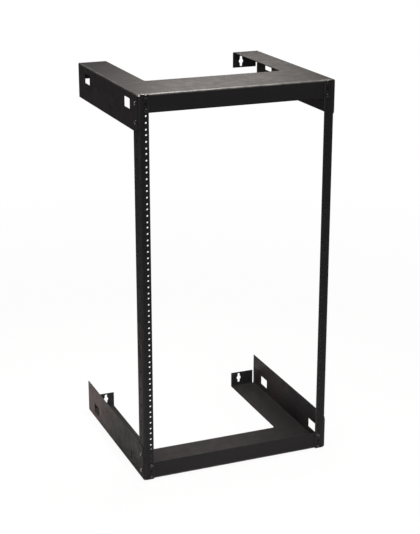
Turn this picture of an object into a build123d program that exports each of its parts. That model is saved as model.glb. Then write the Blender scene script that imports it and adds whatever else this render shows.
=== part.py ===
# Open 19-inch rack for a wall: two folded steel brackets joined by two drilled posts.
# Millimetres. The back of the wall tabs is the plane y = 0, the room is towards -Y,
# x = 0 is the middle of the rack and z = 0 is half its height.
import os

from build123d import *

# Rack standard
UNIT_HEIGHT = 44.45
RACK_SPACES = 20
RACK_OPENING = 450.85
HOLE_INSET = 7.125
HOLES_PER_UNIT = 3
RACK_HOLE_D = 4.7

# Overall size
DEPTH = 457.2
BRACKET_UNITS = 1

# Sheet and its folds
BRACKET_SHEET = 2.0
POST_SHEET = 2.5
BEND_INNER = 2.0
RELIEF_WIDTH = 2.0
RELIEF_PAST_BEND = 1.0

# Posts
POST_FLANGE = 25.4
POST_SIDE = 36.0
POST_END_GAP = 0.5
SIDE_HOLE_BACK = 16.0
SIDE_HOLE_D = 5.5

# Bracket plate
ARM_WIDTH = 73.0
CROSSBAR = 152.4
INNER_CORNER_R = 8.0
CORNER_STRIP = 8.0

# Bracket side walls
SIDE_WALL_UNITS = 2
WALL_CORNER_R = 12.0
WINDOW_LENGTH = 42.0
WINDOW_HEIGHT = 25.4
WINDOW_CORNER_R = 1.0
WINDOW_RISE = 31.0
WINDOW_INSET = 73.0

# Wall tabs and their double keyholes
TAB_HEIGHT = 42.5
KEYHOLE_INSET = 49.625
KEYHOLE_RISE = 25.4
KEYHOLE_D = 12.7
KEYHOLE_SLOT_WIDTH = 7.0
KEYHOLE_SLOT_LENGTH = 28.0

# Screws and nuts
SCREW_CLEARANCE = 0.25
THREAD_GAP = 0.05
SCREW_HEAD_D = 10.0
SCREW_HEAD_H = 3.2
SCREW_HEAD_BEVEL = 1.4
SCREW_TIP = 1.5
NUT_ACROSS_FLATS = 9.5
NUT_H = 3.2

# The standard spaces the holes in fourteenths of a unit: two, five, five and two
UNIT_PART = UNIT_HEIGHT / 14
FIRST_HOLE = 2 * UNIT_PART
HOLE_STEP = 5 * UNIT_PART

# Worked out from the sizes above
HEIGHT = (RACK_SPACES + 2 * BRACKET_UNITS) * UNIT_HEIGHT
TOP = HEIGHT / 2
FRONT = -DEPTH
FLANGE_HEIGHT = BRACKET_UNITS * UNIT_HEIGHT
SIDE_WALL = SIDE_WALL_UNITS * UNIT_HEIGHT
HOLE_COLUMN = RACK_OPENING / 2 + HOLE_INSET
POST_OUTER = RACK_OPENING / 2 + POST_FLANGE
WALL_OUTER = POST_OUTER + BRACKET_SHEET
BRACKET_FRONT = FRONT + POST_SHEET
BRACKET_BEND = BRACKET_SHEET + BEND_INNER
POST_BEND = POST_SHEET + BEND_INNER
NOTCH_DEPTH = BRACKET_BEND + RELIEF_PAST_BEND
FLANGE_HALF = WALL_OUTER - CORNER_STRIP - RELIEF_WIDTH
TAB_INNER = WALL_OUTER - ARM_WIDTH
TAB_OUTER = WALL_OUTER - BRACKET_BEND - RELIEF_WIDTH
KEYHOLE_X = WALL_OUTER - KEYHOLE_INSET
POST_COPE = BRACKET_BEND + POST_END_GAP
SIDE_HOLE_Y = FRONT + SIDE_HOLE_BACK
SIDE_SCREW_D = SIDE_HOLE_D - 2 * SCREW_CLEARANCE
NUT_BORE_D = SIDE_SCREW_D + 2 * THREAD_GAP
FRONT_SCREW_D = RACK_HOLE_D - 2 * THREAD_GAP
FRONT_SCREW_DROPS = [FIRST_HOLE, FIRST_HOLE + 2 * HOLE_STEP]
SIDE_SCREW_DROPS = [UNIT_HEIGHT * (unit + 0.5) for unit in range(SIDE_WALL_UNITS)]

# A cut through both side walls is wider than the rack by this much at each end
CUT_OVERRUN = 5.0


def folded_sheet(plane, points, sheet, width):
    """A strip folded along a path in the middle of its thickness, drawn on the strip's first end."""
    path = FilletPolyline(*points, radius=BEND_INNER + sheet / 2)
    section = trace(path, line_width=sheet)
    return extrude(plane * section, width)


def block(x_range, y_range, z_range):
    """A rectangular punch between the given limits."""
    sizes = [high - low for low, high in (x_range, y_range, z_range)]
    centre = [(high + low) / 2 for low, high in (x_range, y_range, z_range)]
    return Pos(*centre) * Box(*sizes)


def rack_hole_drops():
    """How far below the top of the rack each hole of the standard pattern lies."""
    return [
        unit * UNIT_HEIGHT + FIRST_HOLE + hole * HOLE_STEP
        for unit in range(RACK_SPACES + 2 * BRACKET_UNITS)
        for hole in range(HOLES_PER_UNIT)
    ]


def unit_centre_drops():
    """How far below the top of the rack the middle of each rack unit lies."""
    return [(unit + 0.5) * UNIT_HEIGHT for unit in range(RACK_SPACES + 2 * BRACKET_UNITS)]


def holes_along_y(xs, zs, diameter, y_range):
    """Drills parallel to Y at each crossing of the given columns and heights."""
    length = y_range[1] - y_range[0]
    drill = Rot(X=90) * Cylinder(diameter / 2, length)
    return [Pos(x, sum(y_range) / 2, z) * drill for x in xs for z in zs]


def holes_along_x(y, zs, diameter, x_range):
    """Drills parallel to X at the given heights."""
    length = x_range[1] - x_range[0]
    drill = Rot(Y=90) * Cylinder(diameter / 2, length)
    return [Pos(sum(x_range) / 2, y, z) * drill for z in zs]


def bracket_channel():
    """The plate with both side walls folded down from it, the walls' front corners rounded."""
    wall = WALL_OUTER - BRACKET_SHEET / 2
    plate = TOP - BRACKET_SHEET / 2
    low = TOP - SIDE_WALL
    points = [(wall, low), (wall, plate), (-wall, plate), (-wall, low)]
    channel = folded_sheet(Plane.XZ, points, BRACKET_SHEET, -BRACKET_FRONT)
    corners = channel.edges().filter_by(Axis.X).group_by(Axis.Z)[0].group_by(Axis.Y)[0]
    return fillet(corners, WALL_CORNER_R)


def plate_notches():
    """Room in the plate for the front fold and the two tab folds, with their relief slots."""
    depth = (TOP - NOTCH_DEPTH, TOP + NOTCH_DEPTH)
    front = (BRACKET_FRONT - NOTCH_DEPTH, BRACKET_FRONT + NOTCH_DEPTH)
    wall = (-NOTCH_DEPTH, NOTCH_DEPTH)
    slot_end = FLANGE_HALF + RELIEF_WIDTH
    tab_end = TAB_OUTER + RELIEF_WIDTH
    notches = [block((-slot_end, slot_end), front, depth)]
    notches += [block(sorted((side * TAB_INNER, side * tab_end)), wall, depth) for side in (-1, 1)]
    return notches


def plate_opening():
    """The way between the arms, open at the wall and rounded at its two inner corners."""
    length = DEPTH
    y_middle = BRACKET_FRONT + CROSSBAR + length / 2
    outline = RectangleRounded(2 * TAB_INNER, length, INNER_CORNER_R)
    return Pos(0, y_middle, TOP) * extrude(outline, NOTCH_DEPTH, both=True)


def front_flange():
    """The crossbar's front edge folded down between the posts' side flanges."""
    flange = BRACKET_FRONT + BRACKET_SHEET / 2
    plate = TOP - BRACKET_SHEET / 2
    points = [(BRACKET_FRONT + NOTCH_DEPTH, plate), (flange, plate), (flange, TOP - FLANGE_HEIGHT)]
    return folded_sheet(Plane.YZ.offset(-FLANGE_HALF), points, BRACKET_SHEET, 2 * FLANGE_HALF)


def wall_tab(side):
    """An arm's rear end folded down against the wall, with a keyhole that has a slot each way."""
    back = -BRACKET_SHEET / 2
    plate = TOP - BRACKET_SHEET / 2
    points = [(back, TOP - TAB_HEIGHT), (back, plate), (-NOTCH_DEPTH, plate)]
    start = min(side * TAB_INNER, side * TAB_OUTER)
    tab = folded_sheet(Plane.YZ.offset(start), points, BRACKET_SHEET, TAB_OUTER - TAB_INNER)
    keyhole = Circle(KEYHOLE_D / 2)
    keyhole += SlotOverall(KEYHOLE_SLOT_LENGTH, KEYHOLE_SLOT_WIDTH, rotation=90)
    centre = Pos(side * KEYHOLE_X, 0, TOP - KEYHOLE_RISE)
    return tab - centre * extrude(Plane.XZ * keyhole, 2 * BRACKET_SHEET, both=True)


def side_windows():
    """Cable windows through both side walls, one near the room and one near the wall."""
    outline = Plane.YZ * RectangleRounded(WINDOW_LENGTH, WINDOW_HEIGHT, WINDOW_CORNER_R)
    punch = extrude(outline, WALL_OUTER + CUT_OVERRUN, both=True)
    centres = [BRACKET_FRONT + WINDOW_INSET, -WINDOW_INSET]
    return [Pos(0, y, TOP - WINDOW_RISE) * punch for y in centres]


def bracket():
    """The top bracket: one folded sheet of steel."""
    body = bracket_channel() - plate_notches() - plate_opening()
    body = body + front_flange() + wall_tab(-1) + wall_tab(1)
    body -= side_windows()
    across = (-WALL_OUTER - CUT_OVERRUN, WALL_OUTER + CUT_OVERRUN)
    heights = [TOP - drop for drop in SIDE_SCREW_DROPS]
    body -= holes_along_x(SIDE_HOLE_Y, heights, SIDE_HOLE_D, across)
    columns = [-HOLE_COLUMN, HOLE_COLUMN]
    heights = [TOP - drop for drop in FRONT_SCREW_DROPS]
    through = (BRACKET_FRONT - BRACKET_SHEET, BRACKET_FRONT + 2 * BRACKET_SHEET)
    body -= holes_along_y(columns, heights, RACK_HOLE_D, through)
    return body.clean()


def right_post():
    """An angle with the rack holes in front, coped at both ends to pass under the plates."""
    length = HEIGHT - 2 * POST_END_GAP
    flange = FRONT + POST_SHEET / 2
    side = POST_OUTER - POST_SHEET / 2
    points = [(RACK_OPENING / 2, flange), (side, flange), (side, FRONT + POST_SIDE)]
    post = folded_sheet(Plane.XY.offset(-length / 2), points, POST_SHEET, length)
    bend = (POST_OUTER - POST_BEND, POST_OUTER + CUT_OVERRUN)
    behind = (FRONT - CUT_OVERRUN, FRONT + POST_SIDE + CUT_OVERRUN)
    for end in (-1, 1):
        heights = sorted((end * (TOP - POST_COPE), end * (TOP + CUT_OVERRUN)))
        post -= block(bend, behind, heights)
    heights = [TOP - drop for drop in rack_hole_drops()]
    through = (FRONT - POST_SHEET, FRONT + 2 * POST_SHEET)
    post -= holes_along_y([HOLE_COLUMN], heights, RACK_HOLE_D, through)
    heights = [TOP - drop for drop in unit_centre_drops()]
    through = (POST_OUTER - 2 * POST_SHEET, POST_OUTER + POST_SHEET)
    post -= holes_along_x(SIDE_HOLE_Y, heights, SIDE_HOLE_D, through)
    return post.clean()


def pan_head_screw(diameter, grip):
    """A machine screw with its head on the plane z = 0 and its shank below, long enough for the grip."""
    head = extrude(Circle(SCREW_HEAD_D / 2), SCREW_HEAD_H)
    head = chamfer(head.edges().group_by(Axis.Z)[-1], SCREW_HEAD_BEVEL)
    return head + extrude(Circle(diameter / 2), -grip - SCREW_TIP)


def hex_nut():
    """A plain nut under the plane z = 0."""
    outline = RegularPolygon(NUT_ACROSS_FLATS / 2, 6, major_radius=False) - Circle(NUT_BORE_D / 2)
    return extrude(outline, -NUT_H)


def corner_fasteners(across, along):
    """Screws and nuts of one corner by name: across is -1 left or 1 right, along -1 foot or 1 top."""
    pieces = {}
    side_stack = BRACKET_SHEET + POST_SHEET
    side_screw = pan_head_screw(SIDE_SCREW_D, side_stack + NUT_H)
    front_screw = pan_head_screw(FRONT_SCREW_D, POST_SHEET + BRACKET_SHEET)
    nut = hex_nut()
    for number, drop in enumerate(SIDE_SCREW_DROPS, start=1):
        height = along * (TOP - drop)
        outside = Plane((across * WALL_OUTER, SIDE_HOLE_Y, height), z_dir=(across, 0, 0))
        pieces[f"side_screw_{number}"] = outside * side_screw
        pieces[f"side_nut_{number}"] = outside.offset(-side_stack) * nut
    for number, drop in enumerate(FRONT_SCREW_DROPS, start=1):
        place = (across * HOLE_COLUMN, FRONT, along * (TOP - drop))
        pieces[f"front_screw_{number}"] = Plane(place, z_dir=(0, -1, 0)) * front_screw
    return pieces


def build_rack():
    """Every piece of the rack by node name."""
    top = bracket()
    post = right_post()
    rack = {
        "top_bracket": top,
        "bottom_bracket": Rot(Y=180) * top,
        "right_post": post,
        "left_post": mirror(post, about=Plane.YZ),
    }
    for end_name, along in (("top", 1), ("bottom", -1)):
        for side_name, across in (("left", -1), ("right", 1)):
            for name, piece in corner_fasteners(across, along).items():
                rack[f"{end_name}_{side_name}_{name}"] = piece
    return rack


os.makedirs("parts", exist_ok=True)
for node, solid in build_rack().items():
    export_step(solid, f"parts/{node}.step")
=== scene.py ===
import math
from typing import NamedTuple

import bmesh
import bpy
from mathutils import Matrix, Vector


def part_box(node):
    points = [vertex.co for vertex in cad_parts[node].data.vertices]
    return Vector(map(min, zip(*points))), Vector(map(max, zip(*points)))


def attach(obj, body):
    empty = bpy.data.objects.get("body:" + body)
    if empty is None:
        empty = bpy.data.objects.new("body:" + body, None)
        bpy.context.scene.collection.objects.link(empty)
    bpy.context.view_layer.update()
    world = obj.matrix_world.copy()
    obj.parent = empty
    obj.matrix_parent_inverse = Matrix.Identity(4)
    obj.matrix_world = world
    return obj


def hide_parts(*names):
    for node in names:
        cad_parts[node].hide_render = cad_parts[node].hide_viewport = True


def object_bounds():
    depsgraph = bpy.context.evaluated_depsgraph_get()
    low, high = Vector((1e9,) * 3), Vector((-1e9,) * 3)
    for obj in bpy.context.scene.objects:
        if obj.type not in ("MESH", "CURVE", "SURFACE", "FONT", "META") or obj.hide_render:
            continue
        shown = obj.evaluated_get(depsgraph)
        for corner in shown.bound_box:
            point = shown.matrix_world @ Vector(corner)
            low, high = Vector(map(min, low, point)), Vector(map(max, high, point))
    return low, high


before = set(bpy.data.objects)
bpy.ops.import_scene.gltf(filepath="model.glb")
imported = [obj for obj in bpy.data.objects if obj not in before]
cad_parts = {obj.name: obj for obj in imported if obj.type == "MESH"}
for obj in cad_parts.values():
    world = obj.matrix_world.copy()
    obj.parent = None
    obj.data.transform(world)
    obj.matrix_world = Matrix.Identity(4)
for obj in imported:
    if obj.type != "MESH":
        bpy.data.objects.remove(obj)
CAD_BOX = [list(corner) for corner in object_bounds()]

bl_info = {
    "name": "Wall Rack Finish",
    "version": (1, 0, 0),
    "blender": (4, 5, 0),
    "location": "View3D > Sidebar > Wall Rack",
    "description": "Powder coat, detailed screws and nuts, and a studio for an open wall rack",
    "category": "Object",
}

MM = 0.001
WHITE = (1.0, 1.0, 1.0)

# Places that the coat's wear, its painted highlights and the fasteners take from the frame
BRACKET_LOW, BRACKET_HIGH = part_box("top_bracket")
POST_LOW, POST_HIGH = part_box("right_post")
SIDE_SCREW_LOW, SIDE_SCREW_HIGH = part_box("top_right_side_screw_1")
FRONT_SCREW_LOW, FRONT_SCREW_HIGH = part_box("top_right_front_screw_1")
NUT_LOW, NUT_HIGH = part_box("top_right_side_nut_1")
TOP_FACE = BRACKET_HIGH.z

BRACKETS = ["top_bracket", "bottom_bracket"]
POSTS = ["left_post", "right_post"]
SIDE_SCREWS = sorted(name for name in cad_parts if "_side_screw_" in name)
FRONT_SCREWS = sorted(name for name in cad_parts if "_front_screw_" in name)
NUTS = sorted(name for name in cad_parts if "_side_nut_" in name)


class FinishSettings(bpy.types.PropertyGroup):
    """Colours and texture of the coated steel and of the fasteners."""

    bracket_color: bpy.props.FloatVectorProperty(
        name="Bracket colour", description="Black powder coat of the folded brackets",
        subtype="COLOR", size=3, min=0, max=1, default=(0.0195, 0.0190, 0.0204))
    post_color: bpy.props.FloatVectorProperty(
        name="Post colour", description="Black powder coat of the drilled posts",
        subtype="COLOR", size=3, min=0, max=1, default=(0.0182, 0.0181, 0.0198))
    # Also the colour of the painted highlight along the top front fold and the posts' ends
    rubbed_and_highlight_color: bpy.props.FloatVectorProperty(
        name="Rubbed colour", description="Coat polished thin along folds and cut edges",
        subtype="COLOR", size=3, min=0, max=1, default=(0.30, 0.29, 0.275))
    # Also the colour of the painted sheen that lightens faces that look up
    dust_and_sheen_color: bpy.props.FloatVectorProperty(
        name="Dust colour", description="Light specks that settle in the texture",
        subtype="COLOR", size=3, min=0, max=1, default=(0.11, 0.095, 0.085))
    screw_color: bpy.props.FloatVectorProperty(
        name="Screw colour", description="Black oxide on the machine screws",
        subtype="COLOR", size=3, min=0, max=1, default=(0.045, 0.045, 0.047))
    nut_color: bpy.props.FloatVectorProperty(
        name="Nut colour", description="Black zinc on the hex nuts",
        subtype="COLOR", size=3, min=0, max=1, default=(0.06, 0.058, 0.055))
    bare_color: bpy.props.FloatVectorProperty(
        name="Bare steel colour", description="Steel that shows where a tool has rubbed",
        subtype="COLOR", size=3, min=0, max=1, default=(0.60, 0.59, 0.58))
    coat_roughness: bpy.props.FloatProperty(
        name="Coat roughness", description="Satin of the powder coat",
        min=0, max=1, default=0.50)
    grain: bpy.props.FloatProperty(
        name="Coat grain", description="Width of one grain of the fine texture",
        subtype="DISTANCE", unit="LENGTH", min=0.0001, default=0.9 * MM)
    # Also the width of the painted highlight along the posts' ends
    wear_and_highlight_width: bpy.props.FloatProperty(
        name="Wear width", description="How far the rubbed coat reaches from a cut edge",
        subtype="DISTANCE", unit="LENGTH", min=0.0001, default=2.6 * MM)


class FastenerSettings(bpy.types.PropertyGroup):
    """Details of the screws and nuts that their solids leave plain."""

    recess_width: bpy.props.FloatProperty(
        name="Recess width", description="Across the cutter of the cross recess, at its wide end",
        subtype="DISTANCE", unit="LENGTH", min=0.001, default=5.2 * MM)
    recess_blade: bpy.props.FloatProperty(
        name="Recess blade", description="Thickness of that cutter's blades, at their wide end",
        subtype="DISTANCE", unit="LENGTH", min=0.0002, default=1.15 * MM)
    recess_depth: bpy.props.FloatProperty(
        name="Recess depth", description="Depth of the cross recess",
        subtype="DISTANCE", unit="LENGTH", min=0.0005, default=2.0 * MM)
    thread_pitch: bpy.props.FloatProperty(
        name="Thread pitch", description="From one thread crest to the next",
        subtype="DISTANCE", unit="LENGTH", min=0.0003, default=0.8 * MM)
    thread_depth: bpy.props.FloatProperty(
        name="Thread depth", description="From a thread's crest to its root",
        subtype="DISTANCE", unit="LENGTH", min=0.0001, default=0.42 * MM)
    turning_steps: bpy.props.IntProperty(
        name="Turning steps", description="Faces around a turned piece",
        min=12, max=96, default=32)


class StudioSettings(bpy.types.PropertyGroup):
    """Camera, lamps, room light and floor."""

    azimuth: bpy.props.FloatProperty(
        name="Camera azimuth", description="Degrees that the camera stands left of straight ahead",
        default=22.28)
    pitch: bpy.props.FloatProperty(
        name="Camera pitch", description="Degrees that the camera looks down",
        default=18.57)
    camera_place: bpy.props.FloatVectorProperty(
        name="Camera place", description="Where the camera stands",
        subtype="TRANSLATION", unit="LENGTH", size=3, default=(-1.2403, -3.3038, 1.0871))
    focal_pixels: bpy.props.FloatProperty(
        name="Focal length in pixels", description="Focal length for an image 534 pixels high",
        default=1338.5)
    floor_color: bpy.props.FloatVectorProperty(
        name="Floor colour", description="Light that the floor throws back on the rack",
        subtype="COLOR", size=3, min=0, max=1, default=(0.38, 0.345, 0.335))
    key_power: bpy.props.FloatProperty(
        name="Key lamp power", description="Lamp above, aimed at the left of the top crossbar",
        unit="POWER", min=0, default=6.0)
    back_power: bpy.props.FloatProperty(
        name="Back lamp power", description="Lamp behind, for the sheen on the top crossbar",
        unit="POWER", min=0, default=0.12)
    low_power: bpy.props.FloatProperty(
        name="Low lamp power", description="Low lamp in front, for the bottom crossbar",
        unit="POWER", min=0, default=0.27)
    plate_power: bpy.props.FloatProperty(
        name="Plate lamp power", description="Lamp behind, for the sheen on the bottom plate",
        unit="POWER", min=0, default=0.04)
    side_power: bpy.props.FloatProperty(
        name="Side lamp power", description="Small warm lamp beside the bottom left wall",
        unit="POWER", min=0, default=0.16)
    top_power: bpy.props.FloatProperty(
        name="Top lamp power", description="Broad lamp high above the rack",
        unit="POWER", min=0, default=10.0)
    fill_level: bpy.props.FloatProperty(
        name="Fill level", description="Light from the room all round",
        min=0, max=2, default=0.45)


# Shader building
class Wire:
    """A socket's value, with the sums that Python expressions on it ask for."""

    def __init__(self, tree, socket):
        self.tree = tree
        self.socket = socket

    def math(self, operation, *values, clamp=False):
        node = self.tree.nodes.new("ShaderNodeMath")
        node.operation = operation
        node.use_clamp = clamp
        for slot, value in zip(node.inputs, values):
            plug(self.tree, slot, value)
        return Wire(self.tree, node.outputs[0])

    def __add__(self, other):
        return self.math("ADD", self, other)

    def __radd__(self, other):
        return self.math("ADD", other, self)

    def __sub__(self, other):
        return self.math("SUBTRACT", self, other)

    def __rsub__(self, other):
        return self.math("SUBTRACT", other, self)

    def __mul__(self, other):
        return self.math("MULTIPLY", self, other)

    def __rmul__(self, other):
        return self.math("MULTIPLY", other, self)

    def __truediv__(self, other):
        return self.math("DIVIDE", self, other)

    def __rtruediv__(self, other):
        return self.math("DIVIDE", other, self)

    def __abs__(self):
        return self.math("ABSOLUTE", self)

    def larger(self, other):
        return self.math("MAXIMUM", self, other)

    def root(self):
        return self.math("SQRT", self)

    def clamped(self):
        return self.math("ADD", self, 0.0, clamp=True)


def plug(tree, slot, value):
    """Links a wire to an input socket, or sets the socket's constant."""
    if isinstance(value, Wire):
        tree.links.new(value.socket, slot)
    elif slot.type == "RGBA":
        slot.default_value = (*value, 1.0)
    else:
        slot.default_value = value


class Finish:
    """The node tree of a material or of the room."""

    def __init__(self, owner):
        self.owner = owner
        owner.use_nodes = True
        self.tree = owner.node_tree
        self.tree.nodes.clear()

    def node(self, kind, settings=None, inputs=None, output=0):
        """Adds a node: its settings first, then its sockets' values or links."""
        node = self.tree.nodes.new(kind)
        for key, value in (settings or {}).items():
            if key == "stops":
                self.ramp(node, value)
            else:
                setattr(node, key, value)
        for key, value in (inputs or {}).items():
            plug(self.tree, node.inputs[key], value)
        return Wire(self.tree, node.outputs[output]) if node.outputs else node

    @staticmethod
    def ramp(node, stops):
        """Gives a colour ramp its two grey stops as (position, level)."""
        for element, (position, level) in zip(node.color_ramp.elements, stops):
            element.position = position
            element.color = (level, level, level, 1.0)

    def parts(self, vector):
        """A vector's parts along X, Y and Z."""
        split = self.node("ShaderNodeSeparateXYZ", inputs={"Vector": vector})
        return [Wire(self.tree, split.socket.node.outputs[axis]) for axis in "XYZ"]

    def place(self):
        """The place on the object, in metres."""
        return self.node("ShaderNodeTexCoord", output="Object")

    def noise(self, width, detail=2.0, roughness=0.5, distortion=0.0):
        """Noise from 0 to 1 whose features are about the given width across."""
        return self.node("ShaderNodeTexNoise", inputs={
            "Vector": self.place(), "Scale": 1.0 / width, "Detail": detail,
            "Roughness": roughness, "Distortion": distortion})

    def steps(self, value, *stops):
        """A level read from a ramp's two stops."""
        return self.node("ShaderNodeValToRGB", {"stops": stops}, {"Fac": value})

    def blend(self, factor, first, second):
        """A colour between two others."""
        return self.node(
            "ShaderNodeMix", {"data_type": "RGBA"},
            {"Factor": factor, 6: first, 7: second}, output=2)

    def bump(self, height, strength, distance, normal=None):
        """A normal that follows a height, on top of another normal where one is given."""
        inputs = {"Height": height, "Strength": strength, "Distance": distance}
        if normal:
            inputs["Normal"] = normal
        return self.node("ShaderNodeBump", inputs=inputs)

    def surface(self, **inputs):
        """Ends the tree in a Principled shader and returns the material."""
        named = {key.replace("_", " "): value for key, value in inputs.items()}
        shader = self.node("ShaderNodeBsdfPrincipled", inputs=named)
        self.node("ShaderNodeOutputMaterial", inputs={"Surface": shader})
        return self.owner


def shade(color, factor):
    """A colour made darker or paler by one factor."""
    return tuple(factor * channel for channel in color)


# Where the coat is rubbed, and where a highlight is painted on it

# Outer radii of the folds
BRACKET_BEND = 4.0 * MM
POST_BEND = 4.5 * MM

# How far from its two outer faces a fold's wear ends, in its outer radii
FOLD_REACH = 1.35

# How much of the wear's width a sheet's cut edge takes, and the painted highlight along a post's end
CUT_EDGE_WIDTH = 0.6
POST_END_WIDTH = 0.5

# How strongly each place is rubbed, or for a post's end how strong its painted highlight is, where 1 is
# all the way
SIDE_FOLD_WEAR = 0.30
REAR_EDGE_WEAR = 0.25
FREE_EDGE_WEAR = 0.12
POST_FOLD_WEAR = 0.10
POST_EDGE_WEAR = 0.20
POST_END_HIGHLIGHT = 0.9

# Painted highlight along the front fold: strongest at its left end, and less with each metre to the
# right
FRONT_FOLD_HIGHLIGHT = 0.8
FRONT_FOLD_HIGHLIGHT_FALL = 0.9


def near(value, target, width):
    """1 where the value is at the target, falling to 0 at the given width from it."""
    return (1.0 - abs(value - target) / width).clamped()


def fold(first, second, radius):
    """1 along a fold, from its distances to the two outer faces, fading out on the flats beside it."""
    return (FOLD_REACH - first.larger(second) / radius).clamped()


def bracket_edges(coat, settings):
    """Where hands and boards rub a bracket: its folds, its rear edge and its free edges. The front
    fold's colour is a painted highlight, strongest at the left end.
    """
    x, y, z = coat.parts(coat.place())
    below = TOP_FACE - abs(z)
    side_fold = fold(below, BRACKET_HIGH.x - abs(x), BRACKET_BEND)
    front_fold_highlight = fold(below, y - BRACKET_LOW.y, BRACKET_BEND)
    rear_edge = near(y, BRACKET_HIGH.y, settings.wear_and_highlight_width)
    free_edge = near(abs(z), BRACKET_LOW.z, CUT_EDGE_WIDTH * settings.wear_and_highlight_width)
    # The front fold's share is a painted highlight, strongest at the left end
    folds = (SIDE_FOLD_WEAR * side_fold).larger(front_fold_highlight * (FRONT_FOLD_HIGHLIGHT - FRONT_FOLD_HIGHLIGHT_FALL * x))
    return folds.larger(REAR_EDGE_WEAR * rear_edge).larger(FREE_EDGE_WEAR * free_edge)


def post_edges(coat, settings):
    """Where a post is rubbed: its fold and the free edge of its drilled flange, with a painted highlight
    along its ends.
    """
    x, y, z = coat.parts(coat.place())
    corner = fold(POST_HIGH.x - abs(x), y - POST_LOW.y, POST_BEND)
    inner_edge = near(abs(x), POST_LOW.x, CUT_EDGE_WIDTH * settings.wear_and_highlight_width)
    # Painted highlight along the post's ends, which carries the front fold's highlight across the post
    end = near(abs(z), POST_HIGH.z, POST_END_WIDTH * settings.wear_and_highlight_width)
    return (POST_FOLD_WEAR * corner).larger(POST_EDGE_WEAR * inner_edge).larger(POST_END_HIGHLIGHT * end)


# Powder coat

# Widths of the coat's patterns, the orange peel's in grains
CLOUD_WIDTH = 90 * MM
HANDLING_WIDTH = 22 * MM
SPECK_WIDTH = 2.2 * MM
PEEL_GRAINS = 4.5

# Depth and strength of the coat's texture
GRAIN_DEPTH = 0.14 * MM
GRAIN_STRENGTH = 0.55
PEEL_DEPTH = 0.20 * MM
PEEL_STRENGTH = 0.60

# Shades of the coat in its dark clouds, in its pale clouds and on top of its grains
DARK_CLOUD = 0.78
PALE_CLOUD = 1.24
GRAIN_TOP = 1.7

# How much of the colour under them the grains, specks, and rubbed places with their painted highlights
# hide
GRAIN_COVER = 0.5
SPECK_COVER = 0.10
RUBBED_AND_HIGHLIGHT_COVER = 0.8

# How far clouds and handling swing the coat's roughness, and how much rubbing polishes it
CLOUD_SWING = 0.22
HANDLING_SWING = 0.42
RUBBED_POLISH = 0.30

# Stops that turn patterns into specks and into patches of more or less rubbing and painted highlight, as
# (position, level)
SPECK_STOPS = ((0.66, 0.0), (0.74, 1.0))
WEAR_AND_HIGHLIGHT_STOPS = ((0.38, 0.45), (0.62, 1.0))

# How much light the coat mirrors, on the shader's scale
COAT_GLOSS = 0.16

# How fast the dusty film and its painted sheen thin out as a face leans, how much lies on a level face,
# and how much more in patches
DUST_AND_SHEEN_SLOPE = 4.0
DUST_AND_SHEEN_FILM = 0.01
DUST_AND_SHEEN_PATCHES = 0.14


def dust_and_sheen_film(coat, patches):
    """How much the dusty film hides the coat: a thin uneven film on faces that look up, none on the
    others. It is also painted sheen that lightens those faces.
    """
    upward = coat.parts(coat.node("ShaderNodeTexCoord", output="Normal"))[2]
    level = (upward * DUST_AND_SHEEN_SLOPE - (DUST_AND_SHEEN_SLOPE - 1.0)).clamped()
    return level * (DUST_AND_SHEEN_FILM + DUST_AND_SHEEN_PATCHES * patches)


def powder_coat(name, color, edges, settings):
    """Black powder coat: fine grain, orange peel, cloudy sheen, specks, wear at the given edges with a
    painted highlight on some of them, and a dusty film with painted sheen on faces that look up.
    """
    coat = Finish(bpy.data.materials.new(name))
    grain = coat.noise(settings.grain, detail=3.0, roughness=0.6)
    peel = coat.noise(PEEL_GRAINS * settings.grain, detail=1.5)
    cloud = coat.noise(CLOUD_WIDTH, detail=4.0, roughness=0.55, distortion=0.6)
    handling = coat.noise(HANDLING_WIDTH, detail=5.0, roughness=0.65)
    specks = coat.steps(coat.noise(SPECK_WIDTH, detail=2.0), *SPECK_STOPS)
    wear_and_highlight = edges(coat, settings) * coat.steps(handling, *WEAR_AND_HIGHLIGHT_STOPS)

    dust_and_sheen = tuple(settings.dust_and_sheen_color)
    tone = coat.blend(cloud, shade(color, DARK_CLOUD), shade(color, PALE_CLOUD))
    tone = coat.blend(grain * GRAIN_COVER, tone, shade(color, GRAIN_TOP))
    tone = coat.blend(specks * SPECK_COVER, tone, dust_and_sheen)
    # Rubbed coat, and the painted highlight along the top front fold and the posts' ends
    tone = coat.blend(wear_and_highlight * RUBBED_AND_HIGHLIGHT_COVER, tone, tuple(settings.rubbed_and_highlight_color))
    # Dusty film on faces that look up, also painted sheen that lightens them
    tone = coat.blend(dust_and_sheen_film(coat, handling), tone, dust_and_sheen)

    roughness = settings.coat_roughness + (cloud - 0.5) * CLOUD_SWING
    roughness = roughness + (handling - 0.5) * HANDLING_SWING - wear_and_highlight * RUBBED_POLISH
    normal = coat.bump(grain, GRAIN_STRENGTH, GRAIN_DEPTH)
    normal = coat.bump(peel, PEEL_STRENGTH, PEEL_DEPTH, normal)
    return coat.surface(
        Base_Color=tone, Roughness=roughness.clamped(), Normal=normal, Specular_IOR_Level=COAT_GLOSS)


# Blackened steel

# Widths of the steel's patterns, and depth and strength of its texture
STEEL_GRAIN_WIDTH = 0.7 * MM
STEEL_CLOUD_WIDTH = 3.0 * MM
STEEL_DEPTH = 0.05 * MM
STEEL_STRENGTH = 0.25

# Shades of the blackened steel between its grains and on top of them
DARK_STEEL = 0.75
PALE_STEEL = 1.3

# How far clouds swing the steel's roughness, and how much a tool polishes it
STEEL_SWING = 0.16
TOOL_POLISH = 0.12

# Stops that make the rubbed places patchy, as (position, level)
TOOL_STOPS = ((0.35, 0.2), (0.6, 1.0))


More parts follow.
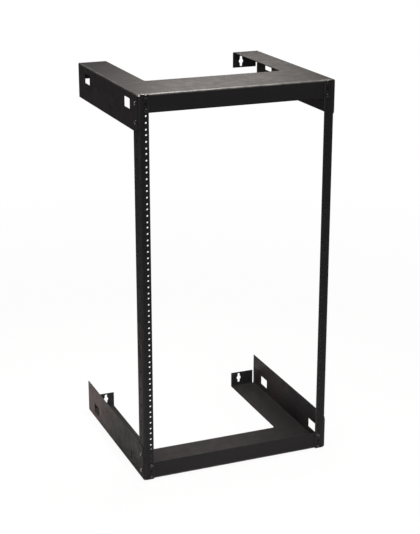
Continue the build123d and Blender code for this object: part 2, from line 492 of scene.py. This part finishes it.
def fastener_finish(name, color, roughness, rubbing, settings):
    """Blackened steel, rubbed back to the metal where a tool has turned it."""
    steel = Finish(bpy.data.materials.new(name))
    grain = steel.noise(STEEL_GRAIN_WIDTH, detail=3.0, roughness=0.6)
    cloud = steel.noise(STEEL_CLOUD_WIDTH, detail=2.0)
    touched = steel.node("ShaderNodeAttribute", {"attribute_name": "touched"}, output="Fac")
    rubbed = touched * steel.steps(cloud, *TOOL_STOPS)
    tone = steel.blend(grain, shade(color, DARK_STEEL), shade(color, PALE_STEEL))
    tone = steel.blend(rubbed * rubbing, tone, tuple(settings.bare_color))
    swing = (cloud - 0.5) * STEEL_SWING
    return steel.surface(
        Base_Color=tone, Metallic=1.0,
        Roughness=(roughness + swing - rubbed * TOOL_POLISH).clamped(),
        Normal=steel.bump(grain, STEEL_STRENGTH, STEEL_DEPTH))


# Modelling

# Points closer than this are one
WELD = 0.002 * MM

# Angle between two faces, in degrees, up to which they are shaded as one round surface
ROUND_ANGLE = 28


def select_none():
    """Leaves object mode and deselects everything."""
    if bpy.context.mode != "OBJECT":
        bpy.ops.object.mode_set(mode="OBJECT")
    bpy.ops.object.select_all(action="DESELECT")


def select_only(piece):
    """Leaves only this object selected and active."""
    select_none()
    piece.select_set(True)
    bpy.context.view_layer.objects.active = piece


def start_piece(name):
    """Names the primitive or the copy that was just added."""
    piece = bpy.context.active_object
    piece.name = name
    piece.data.name = name
    return piece


def weld_and_face_out():
    """In edit mode, merges doubled points and points all faces outwards."""
    bpy.ops.mesh.select_all(action="SELECT")
    bpy.ops.mesh.remove_doubles(threshold=WELD)
    bpy.ops.mesh.normals_make_consistent(inside=False)


def turned(name, profile, steps):
    """Turns a profile of (radius, height) points about Z into a closed solid, as on a lathe."""
    select_none()
    (radius, height), *rest = profile
    bpy.ops.mesh.primitive_plane_add(size=MM, location=(0, 0, 0))
    piece = start_piece(name)
    bpy.ops.object.mode_set(mode="EDIT")
    bpy.ops.mesh.select_all(action="SELECT")
    bpy.ops.mesh.merge(type="CENTER")
    bpy.ops.transform.translate(value=(radius, 0, height))
    for next_radius, next_height in rest:
        step = (next_radius - radius, 0, next_height - height)
        bpy.ops.mesh.extrude_region_move(TRANSFORM_OT_translate={"value": step})
        radius, height = next_radius, next_height
    bpy.ops.mesh.select_all(action="SELECT")
    bpy.ops.mesh.spin(steps=steps, angle=2 * math.pi, center=(0, 0, 0), axis=(0, 0, 1))
    weld_and_face_out()
    bpy.ops.object.mode_set(mode="OBJECT")
    return piece


def cut(piece, tool, operation="DIFFERENCE"):
    """Takes one solid off another, or keeps what they share, and removes the tool."""
    select_only(piece)
    boolean = piece.modifiers.new("cut", "BOOLEAN")
    boolean.operation = operation
    boolean.solver = "EXACT"
    boolean.object = tool
    bpy.ops.object.modifier_apply(modifier=boolean.name)
    bpy.data.objects.remove(tool)


def finish_solid(piece):
    """Merges what the cuts left, points the faces out and rounds only the gentle angles."""
    select_only(piece)
    bpy.ops.object.mode_set(mode="EDIT")
    weld_and_face_out()
    bpy.ops.object.mode_set(mode="OBJECT")
    bpy.ops.object.shade_smooth_by_angle(angle=math.radians(ROUND_ANGLE))


def mark_touched(piece, wear):
    """Stores how much each point has been rubbed, for the finish to read."""
    layer = piece.data.attributes.new("touched", "FLOAT", "POINT")
    for vertex in piece.data.vertices:
        layer.data[vertex.index].value = wear(vertex.co)


# Threads

# Radii of the shanks and of the nut's bore
SIDE_SHANK = 2.5 * MM
FRONT_SHANK = 2.3 * MM
NUT_BORE = 2.55 * MM

# Plain neck under a screw's head, and what a side screw holds between its head and its nut
NECK = 0.3 * MM
GRIP = BRACKET_HIGH.x - NUT_HIGH.x

# Where a crest ends, the root begins and ends, and the next crest begins, in pitches
CREST_END = 0.10
ROOT_START = 0.45
ROOT_END = 0.60
NEXT_CREST = 0.95

# Middle of the first whole crest below a thread's top, and the last turn's least length, in pitches
CREST_MIDDLE = (NEXT_CREST + 1 + CREST_END) / 2
LAST_TURN = 0.6


def thread_profile(radius, top, bottom, settings):
    """Crests and roots down a shank, from the given top to its bevelled end."""
    points = []
    root = radius - settings.thread_depth
    pitch = settings.thread_pitch
    height = top
    while height - pitch > bottom + LAST_TURN * pitch:
        points += [(radius, height - CREST_END * pitch), (root, height - ROOT_START * pitch)]
        points += [(root, height - ROOT_END * pitch), (radius, height - NEXT_CREST * pitch)]
        height -= pitch
    return points + [(radius, height - CREST_END * pitch), (root, bottom), (0, bottom)]


# Screws

# Narrow end of the recess' cutter, as shares of the width and thickness of its wide end
RECESS_TAPER = (0.28, 0.62, 1)

# A pan head's dome: how many steps it has, and how full its curve is outwards and upwards
DOME_STEPS = 6
DOME_FULL_OUT = 0.75
DOME_FULL_UP = 0.9

# A pan head's upright side and the small bevel under it, as shares of the head's height and radius
HEAD_SIDE = 0.42
BEVEL_HEIGHT = 0.05
BEVEL_RADIUS = 0.97

# How much a driver has rubbed a head: around the recess, over its crown and at its rim
RECESS_TOUCH = 1.0
CROWN_TOUCH = 0.85
RIM_TOUCH = 0.2

# Where those places are: a share of the recess cutter's width, and shares of the head's height
RECESS_AROUND = 0.6
RECESS_ABOVE = 0.5
CROWN_ABOVE = 0.3

# Golden angle between one recess and the next, so that no two screws line up
GOLDEN_TURN = math.radians(137.5)


def recess_cutter(settings, crown, turn):
    """The tapered cutter for one blade of the cross recess, sunk by half into a crown at this height."""
    select_none()
    bpy.ops.mesh.primitive_cube_add(size=1, location=(0, 0, 0))
    blade = start_piece("blade")
    bpy.ops.object.mode_set(mode="EDIT")
    bpy.ops.mesh.select_all(action="SELECT")
    bpy.ops.transform.resize(
        value=(settings.recess_width, settings.recess_blade, 2 * settings.recess_depth))
    bpy.ops.transform.translate(value=(0, 0, crown))
    bpy.ops.mesh.select_all(action="DESELECT")
    mesh = bmesh.from_edit_mesh(blade.data)
    for face in mesh.faces:
        face.select = face.normal.z < -0.5
    bmesh.update_edit_mesh(blade.data)
    bpy.ops.transform.resize(value=RECESS_TAPER)
    bpy.ops.mesh.select_all(action="SELECT")
    bpy.ops.transform.rotate(value=turn, orient_axis="Z", center_override=(0, 0, 0))
    bpy.ops.object.mode_set(mode="OBJECT")
    return blade


def pan_head(radius, height):
    """A pan head's outline from its crown to its rim: a shallow dome that rolls into an upright side."""
    side = HEAD_SIDE * height
    points = [(0, height)]
    for step in range(1, DOME_STEPS + 1):
        angle = step / DOME_STEPS * math.pi / 2
        points.append((
            radius * math.sin(angle) ** DOME_FULL_OUT,
            side + (height - side) * math.cos(angle) ** DOME_FULL_UP))
    return points + [(radius, BEVEL_HEIGHT * height), (BEVEL_RADIUS * radius, 0)]


def machine_screw(name, head_radius, head_height, length, shank_radius, settings):
    """A pan head machine screw with a cross recess, seated on z = 0 with its shank below."""
    profile = pan_head(head_radius, head_height)
    profile += [(shank_radius, 0), (shank_radius, -NECK)]
    profile += thread_profile(shank_radius, -NECK, -length, settings)
    screw = turned(name, profile, settings.turning_steps)
    for turn in (0, math.pi / 2):
        cut(screw, recess_cutter(settings, head_height, turn))
    finish_solid(screw)
    mark_touched(screw, lambda spot: screw_touch(spot, head_height, settings))
    return screw


def screw_touch(spot, head_height, settings):
    """How much a driver has rubbed one point of a screw."""
    if spot.z < 0:
        return 0.0
    around = math.hypot(spot.x, spot.y) < RECESS_AROUND * settings.recess_width
    if around and spot.z > RECESS_ABOVE * head_height:
        return RECESS_TOUCH
    return CROWN_TOUCH if spot.z > CROWN_ABOVE * head_height else RIM_TOUCH


# Nuts

# The flat ring that a nut's chamfer leaves, as a share of its width across flats
CHAMFER_LAND = 0.96

# How steeply the chamfer falls towards the corners, and how far past them its cutter reaches
CHAMFER_FALL = 0.5
CUTTER_REACH = 1.01

# The widened mouth of the bore, and how far the bore's cutter runs out of the nut
MOUTH_WIDENING = 0.3 * MM
MOUTH_DEPTH = 0.1 * MM
OVERRUN = 0.5 * MM

# How much a spanner has rubbed a nut's corners, and where they begin, in widths across flats
CORNER_TOUCH = 0.8
CORNER_START = 0.53


def hex_nut(name, across_flats, height, bore_radius, settings):
    """A hex nut over z = 0 with both faces chamfered and a threaded bore."""
    corner = across_flats / math.sqrt(3)
    select_none()
    bpy.ops.mesh.primitive_cylinder_add(
        vertices=6, radius=corner, depth=height, location=(0, 0, height / 2))
    bpy.ops.object.transform_apply(location=True, rotation=False, scale=False)
    nut = start_piece(name)

    land = CHAMFER_LAND * across_flats / 2
    drop = CHAMFER_FALL * (corner - land)
    rim = CUTTER_REACH * corner
    crown = [(0, height), (land, height), (rim, height - drop), (rim, drop), (land, 0), (0, 0)]
    cut(nut, turned("crown", crown, settings.turning_steps), "INTERSECT")

    # The grooves in the bore lie where the screw's crests do, a grip's length from its head
    pitch = settings.thread_pitch
    first = (2 * CREST_MIDDLE * pitch + NECK - GRIP) % pitch
    top = first + pitch * ((height - MOUTH_DEPTH - first) // pitch)
    mouth = bore_radius + MOUTH_WIDENING
    bore = [(0, height + OVERRUN), (mouth, height + OVERRUN), (mouth, height - MOUTH_DEPTH)]
    bore += thread_profile(bore_radius, top, -OVERRUN, settings)
    cut(nut, turned("bore", bore, settings.turning_steps))
    finish_solid(nut)
    mark_touched(nut, lambda spot: nut_touch(spot, across_flats))
    return nut


def nut_touch(spot, across_flats):
    """How much a spanner has rubbed one point of a nut."""
    return CORNER_TOUCH if math.hypot(spot.x, spot.y) > CORNER_START * across_flats else 0.0


# Dressing the frame
def seat_copy(pattern, node, seat, outward, turn):
    """A copy of a fastener in place of its node, its seat on the given plane and its top outward."""
    select_only(pattern)
    bpy.ops.object.duplicate(linked=False)
    piece = start_piece(f"{node}_detailed")
    low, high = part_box(node)
    place = (low + high) / 2
    along = max(range(3), key=lambda axis: abs(outward[axis]))
    place[along] = seat
    stand = Vector(outward).to_track_quat("Z", "Y").to_matrix().to_4x4()
    piece.matrix_world = Matrix.Translation(place) @ stand @ Matrix.Rotation(turn, 4, "Z")
    bpy.ops.object.transform_apply(location=True, rotation=True, scale=True)
    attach(piece, "root")
    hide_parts(node)
    return piece


def side_of(node):
    """-1 for a fastener on the left of the rack, 1 for one on the right."""
    return -1 if "_left_" in node else 1


def paint(nodes, finish):
    """Gives nodes of the frame one finish all over."""
    for node in nodes:
        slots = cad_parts[node].data.materials
        slots.clear()
        slots.append(finish)


class RACK_OT_coat_brackets(bpy.types.Operator):
    """Powder coat the two folded brackets"""

    bl_idname = "rack.coat_brackets"
    bl_label = "Coat Brackets"

    def execute(self, context):
        settings = context.scene.rack_finish
        paint(BRACKETS, powder_coat("bracket_coat", settings.bracket_color, bracket_edges, settings))
        return {"FINISHED"}


class RACK_OT_coat_posts(bpy.types.Operator):
    """Powder coat the two drilled posts"""

    bl_idname = "rack.coat_posts"
    bl_label = "Coat Posts"

    def execute(self, context):
        settings = context.scene.rack_finish
        paint(POSTS, powder_coat("post_coat", settings.post_color, post_edges, settings))
        return {"FINISHED"}


class RACK_OT_fit_screws(bpy.types.Operator):
    """Model the two lengths of machine screw and seat one at each screw's place"""

    bl_idname = "rack.fit_screws"
    bl_label = "Fit Screws"

    def execute(self, context):
        settings = context.scene.rack_fasteners
        colors = context.scene.rack_finish
        head_radius = (SIDE_SCREW_HIGH.z - SIDE_SCREW_LOW.z) / 2
        head_height = SIDE_SCREW_HIGH.x - BRACKET_HIGH.x
        side = machine_screw("side_screw_pattern", head_radius, head_height,
                             BRACKET_HIGH.x - SIDE_SCREW_LOW.x, SIDE_SHANK, settings)
        front = machine_screw("front_screw_pattern", head_radius, head_height,
                              FRONT_SCREW_HIGH.y - POST_LOW.y, FRONT_SHANK, settings)
        side.data.materials.append(fastener_finish(
            "side_screw_oxide", colors.screw_color, roughness=0.34, rubbing=0.95, settings=colors))
        front.data.materials.append(fastener_finish(
            "front_screw_oxide", colors.screw_color, roughness=0.44, rubbing=0.20, settings=colors))
        for number, node in enumerate(SIDE_SCREWS):
            across = side_of(node)
            turn = GOLDEN_TURN * number
            piece = seat_copy(side, node, across * BRACKET_HIGH.x, (across, 0, 0), turn)
        for number, node in enumerate(FRONT_SCREWS):
            turn = GOLDEN_TURN * (number + 0.5)
            piece = seat_copy(front, node, POST_LOW.y, (0, -1, 0), turn)
        for pattern in (side, front):
            bpy.data.objects.remove(pattern)
        return {"FINISHED"}


class RACK_OT_fit_nuts(bpy.types.Operator):
    """Model one hex nut and seat a copy on each side screw"""

    bl_idname = "rack.fit_nuts"
    bl_label = "Fit Nuts"

    def execute(self, context):
        settings = context.scene.rack_fasteners
        colors = context.scene.rack_finish
        pattern = hex_nut("nut_pattern", NUT_HIGH.y - NUT_LOW.y, NUT_HIGH.x - NUT_LOW.x,
                          NUT_BORE, settings)
        pattern.data.materials.append(fastener_finish(
            "nut_zinc", colors.nut_color, roughness=0.36, rubbing=0.6, settings=colors))
        for node in NUTS:
            across = side_of(node)
            piece = seat_copy(pattern, node, across * NUT_HIGH.x, (-across, 0, 0), 0)
        bpy.data.objects.remove(pattern)
        return {"FINISHED"}


# Studio

# Height of the photograph in pixels, and of the camera's sensor in millimetres
IMAGE_HEIGHT = 534
SENSOR = 36.0

# The floor's width, and how far it lies below the rack's foot
FLOOR_WIDTH = 24
FLOOR_GAP = 0.5 * MM

# Where the floor's shadow starts to fade, how far that takes, and how much white hides of it before
SHADOW_REACH = 0.8
SHADOW_FADE = 1.5
SHADOW_HIDDEN = 0.93

# Painted pool of light on the floor near the rack, seen only in the coat's mirror: how white it is,
# where that ends, and over how much it fades
MIRRORED_FLOOR = 0.62
MIRROR_END = 0.75
MIRROR_FADE = 0.5

# The room in the coat's mirror: its level all round and what the bright side behind adds to it
MIRRORED_ROOM = 0.055
MIRRORED_BEHIND = 0.055

# The bright side's direction as parts of back and right, and how its light falls with the height
BEHIND_BACK = 1.1
BEHIND_RIGHT = 0.9
HORIZON = 1.35
HORIZON_FALL = 2.2

# How far the fill drops towards the back, and what mirrored light lacks in green and in blue
BACK_SHADE = 0.6
MIRRORED_GREEN_LOSS = 0.11
MIRRORED_BLUE_LOSS = 0.22


class Lamp(NamedTuple):
    """A square area lamp: where it stands, the point it is aimed at, its width, colour and spread."""

    place: tuple
    target: tuple
    size: float
    color: tuple
    spread: float


# Each lamp's power is in the settings under its own name
LAMPS = {
    "key": Lamp(place=(0.2, -0.2, 1.7), target=(-0.14, -0.47, TOP_FACE),
                size=0.5, color=(1, 0.98, 0.95), spread=75),
    "back": Lamp(place=(0.46, 0.75, 0.98), target=(-0.04, -0.55, TOP_FACE),
                 size=0.5, color=(1, 0.93, 0.86), spread=40),
    "low": Lamp(place=(0.1, -1.9, -0.30), target=(0, -0.45, -TOP_FACE),
                size=0.3, color=(1, 0.97, 0.98), spread=40),
    "plate": Lamp(place=(0.40, 0.76, 0.14), target=(-0.02, -0.42, -TOP_FACE),
                  size=0.3, color=(1, 0.84, 0.87), spread=30),
    "side": Lamp(place=(-0.70, 0.20, -0.435), target=(-0.25, -0.01, -0.45),
                 size=0.09, color=(1, 0.62, 0.56), spread=41),
    "top": Lamp(place=(-0.2, -0.45, 2.4), target=(0, FRONT_SCREW_LOW.y / 2, 0),
                size=1.4, color=(1, 0.95, 0.90), spread=90),
}


def add_camera(settings):
    """The camera at the photograph's angle."""
    camera = bpy.data.cameras.new("camera")
    camera.sensor_width = SENSOR
    camera.lens = settings.focal_pixels * SENSOR / IMAGE_HEIGHT
    stand = bpy.data.objects.new("camera", camera)
    stand.location = settings.camera_place
    stand.rotation_euler = (math.radians(90 - settings.pitch), 0, math.radians(-settings.azimuth))
    bpy.context.scene.collection.objects.link(stand)
    bpy.context.scene.camera = stand


def add_lamp(name, lamp, power):
    """One lamp of the studio, hidden from the camera."""
    light = bpy.data.lights.new(name, "AREA")
    light.shape = "SQUARE"
    light.size = lamp.size
    light.energy = power
    light.color = lamp.color
    light.spread = math.radians(lamp.spread)
    stand = bpy.data.objects.new(name, light)
    stand.location = lamp.place
    aim = Vector(lamp.target) - Vector(lamp.place)
    stand.rotation_euler = aim.to_track_quat("-Z", "Y").to_euler()
    stand.visible_camera = False
    bpy.context.scene.collection.objects.link(stand)


def add_floor(settings):
    """A wide floor, white for the camera, that keeps the rack's soft shadow."""
    select_none()
    foot = CAD_BOX[0][2]
    bpy.ops.mesh.primitive_plane_add(size=FLOOR_WIDTH, location=(0, 0, foot - FLOOR_GAP))
    floor = start_piece("studio_floor")
    sweep = Finish(bpy.data.materials.new("studio_floor"))
    camera = sweep.node("ShaderNodeLightPath", output="Is Camera Ray")
    mirrored = sweep.node("ShaderNodeLightPath", output="Is Glossy Ray")
    x, y, _ = sweep.parts(sweep.place())
    away = (x * x + y * y).root()
    far = ((away - SHADOW_REACH) / SHADOW_FADE).clamped()
    # Painted pool of light on the floor near the rack, shown only in the coat's mirror
    painted_light_pool = MIRRORED_FLOOR * ((MIRROR_END - away) / MIRROR_FADE).clamped()
    color = sweep.blend((camera + mirrored * painted_light_pool).clamped(), tuple(settings.floor_color), WHITE)
    matte = sweep.node("ShaderNodeBsdfDiffuse", inputs={"Color": color})
    glow = sweep.node("ShaderNodeEmission", inputs={"Color": WHITE, "Strength": 1.0})
    hidden = camera * (SHADOW_HIDDEN + (1.0 - SHADOW_HIDDEN) * far)
    shown = sweep.node("ShaderNodeMixShader", inputs={0: hidden, 1: matte, 2: glow})
    sweep.node("ShaderNodeOutputMaterial", inputs={"Surface": shown})
    floor.data.materials.append(sweep.owner)


def add_room(settings):
    """White for the camera, dim and warm in the coat's mirror, and a soft fill for the rest."""
    room = Finish(bpy.data.worlds.new("studio_room"))
    right, back, height = room.parts(room.node("ShaderNodeTexCoord", output="Generated"))
    camera = room.node("ShaderNodeLightPath", output="Is Camera Ray")
    mirrored = room.node("ShaderNodeLightPath", output="Is Glossy Ray")
    behind = (back * BEHIND_BACK + right * BEHIND_RIGHT).clamped()
    horizon = (HORIZON - HORIZON_FALL * height).clamped()
    mirror_level = MIRRORED_ROOM + MIRRORED_BEHIND * behind * horizon
    fill_level = settings.fill_level * (1.0 - BACK_SHADE * back)
    level = camera + (1.0 - camera) * (mirrored * mirror_level + (1.0 - mirrored) * fill_level)
    tint = room.node("ShaderNodeCombineColor", inputs={
        "Red": 1.0, "Green": 1.0 - mirrored * MIRRORED_GREEN_LOSS,
        "Blue": 1.0 - mirrored * MIRRORED_BLUE_LOSS})
    background = room.node("ShaderNodeBackground", inputs={"Color": tint, "Strength": level})
    room.node("ShaderNodeOutputWorld", inputs={"Surface": background})
    bpy.context.scene.world = room.owner


class RACK_OT_set_stage(bpy.types.Operator):
    """Set the floor, the room light, the lamps and the camera"""

    bl_idname = "rack.set_stage"
    bl_label = "Set Stage"

    def execute(self, context):
        settings = context.scene.rack_studio
        add_floor(settings)
        add_room(settings)
        for name, lamp in LAMPS.items():
            add_lamp(f"{name}_lamp", lamp, getattr(settings, f"{name}_power"))
        add_camera(settings)
        context.scene.view_settings.view_transform = "Standard"
        return {"FINISHED"}


class RACK_PT_panel(bpy.types.Panel):
    """The rack's settings, and its steps in the order in which they are run"""

    bl_idname = "RACK_PT_panel"
    bl_label = "Wall Rack"
    bl_space_type = "VIEW_3D"
    bl_region_type = "UI"
    bl_category = "Wall Rack"

    def draw(self, context):
        scene = context.scene
        for group in (scene.rack_finish, scene.rack_fasteners, scene.rack_studio):
            box = self.layout.box()
            for name in group.__annotations__:
                box.prop(group, name)
        for step in STEPS:
            self.layout.operator(step.bl_idname)


STEPS = (RACK_OT_coat_brackets, RACK_OT_coat_posts, RACK_OT_fit_screws, RACK_OT_fit_nuts,
         RACK_OT_set_stage)
CLASSES = (FinishSettings, FastenerSettings, StudioSettings, *STEPS, RACK_PT_panel)


def register():
    for kind in CLASSES:
        bpy.utils.register_class(kind)
    bpy.types.Scene.rack_finish = bpy.props.PointerProperty(type=FinishSettings)
    bpy.types.Scene.rack_fasteners = bpy.props.PointerProperty(type=FastenerSettings)
    bpy.types.Scene.rack_studio = bpy.props.PointerProperty(type=StudioSettings)


def unregister():
    del bpy.types.Scene.rack_studio
    del bpy.types.Scene.rack_fasteners
    del bpy.types.Scene.rack_finish
    for kind in reversed(CLASSES):
        bpy.utils.unregister_class(kind)


def main():
    register()
    bpy.ops.rack.coat_brackets()
    bpy.ops.rack.coat_posts()
    bpy.ops.rack.fit_screws()
    bpy.ops.rack.fit_nuts()
    bpy.ops.rack.set_stage()


if __name__ == "__main__":
    main()
